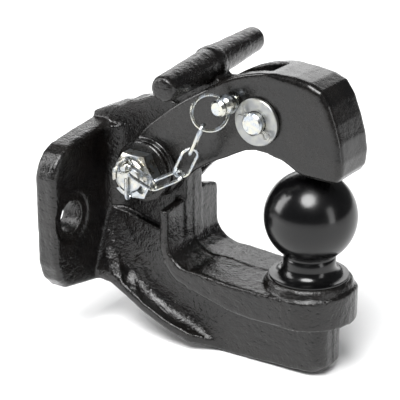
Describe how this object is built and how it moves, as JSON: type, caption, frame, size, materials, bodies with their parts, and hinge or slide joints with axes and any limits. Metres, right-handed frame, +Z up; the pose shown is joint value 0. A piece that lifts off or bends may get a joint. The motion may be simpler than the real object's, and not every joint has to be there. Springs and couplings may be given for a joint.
{
  "type": "combination pintle hook with tow ball",
  "caption": "Bolt-on pintle hook with a tow ball in its lower jaw, a hinged upper jaw, a T-handled latch lever and a chained lock pin.",
  "frame": {"origin": "middle of the mounting face, level with the two bolt holes", "axes": "+X from the mounting face towards the ball, +Z up, Y along the jaw's hinge"},
  "size_m": [0.1638, 0.12, 0.1705],
  "materials": {
    "black_casting": "black paint over a rough forged surface",
    "black_gloss": "smooth gloss black",
    "black_washer": "satin black",
    "bright_zinc": "bright zinc plating",
    "spring_steel": "oiled spring steel"
  },
  "bodies": {
    "base": {"hook_body": "black_casting", "tow_ball": "black_gloss"},
    "jaw": {"upper_jaw": "black_casting", "jaw_pivot_bolt": "bright_zinc", "jaw_pivot_washer": "black_washer", "bolt_head_washer": "black_washer", "jaw_castle_nut": "bright_zinc", "castle_nut_cotter": "bright_zinc", "lever_pivot_pin": "bright_zinc", "lever_pin_washer": "bright_zinc", "lever_pin_cotter": "bright_zinc", "latch_spring": "spring_steel"},
    "lever": {"latch_lever": "black_casting"},
    "lock_pin": {"lock_pin": "bright_zinc"},
    "ring": {"pull_ring": "bright_zinc"},
    "link_1": {"chain_link_1": "bright_zinc"},
    "link_2": {"chain_link_2": "bright_zinc"},
    "link_3": {"chain_link_3": "bright_zinc"},
    "link_4": {"chain_link_4": "bright_zinc"}
  },
  "joints": [
    {"name": "jaw_open", "type": "hinge", "parent": "base", "child": "jaw", "pos_m": [0.0435, 0, 0.0255], "axis": [0, -1, 0], "range_deg": [0, 50]},
    {"name": "lever_lift", "type": "hinge", "parent": "jaw", "child": "lever", "pos_m": [0.114, 0, 0.066], "axis": [0, 1, 0], "range_deg": [0, 25], "stiffness_Nm_per_rad": 1.5, "springref_deg": -17.19, "deforming": ["latch_spring"]},
    {"name": "lock_pin_pull", "type": "slide", "parent": "jaw", "child": "lock_pin", "axis": [0, -1, 0], "range_m": [0, 0.034]},
    {"name": "ring_swing", "type": "hinge", "parent": "lock_pin", "child": "ring", "pos_m": [0.098, -0.0206, 0.0735], "axis": [0.5423, -0.0331, -0.8396], "range_deg": [0, 14.33]},
    {"name": "link_1_swing", "type": "hinge", "parent": "jaw", "child": "link_1", "pos_m": [0.0479, -0.0384, 0.033], "axis": [-0.5639, -0.3068, -0.7668], "range_deg": [0, 32.25]},
    {"name": "link_2_swing", "type": "hinge", "parent": "link_1", "child": "link_2", "pos_m": [0.0626, -0.0367, 0.0264], "axis": [0.3516, 0.7825, -0.5139], "range_deg": [0, 26.83]},
    {"name": "link_3_swing", "type": "hinge", "parent": "link_2", "child": "link_3", "pos_m": [0.0759, -0.0305, 0.0336], "axis": [0.1535, 0.2592, 0.9536], "range_deg": [0, 21.67]},
    {"name": "link_4_swing", "type": "hinge", "parent": "link_3", "child": "link_4", "pos_m": [0.0833, -0.0308, 0.0481], "axis": [0.8608, -0.5004, 0.0926], "range_deg": [0, 26.87]}
  ],
  "couplings": [
    {"joint": "ring_swing", "follows": "lock_pin_pull", "rad_per_m": 7.356},
    {"joint": "link_1_swing", "follows": "lock_pin_pull", "rad_per_m": 16.555},
    {"joint": "link_2_swing", "follows": "lock_pin_pull", "rad_per_m": 13.773},
    {"joint": "link_3_swing", "follows": "lock_pin_pull", "rad_per_m": 11.124},
    {"joint": "link_4_swing", "follows": "lock_pin_pull", "rad_per_m": 13.793}
  ]
}
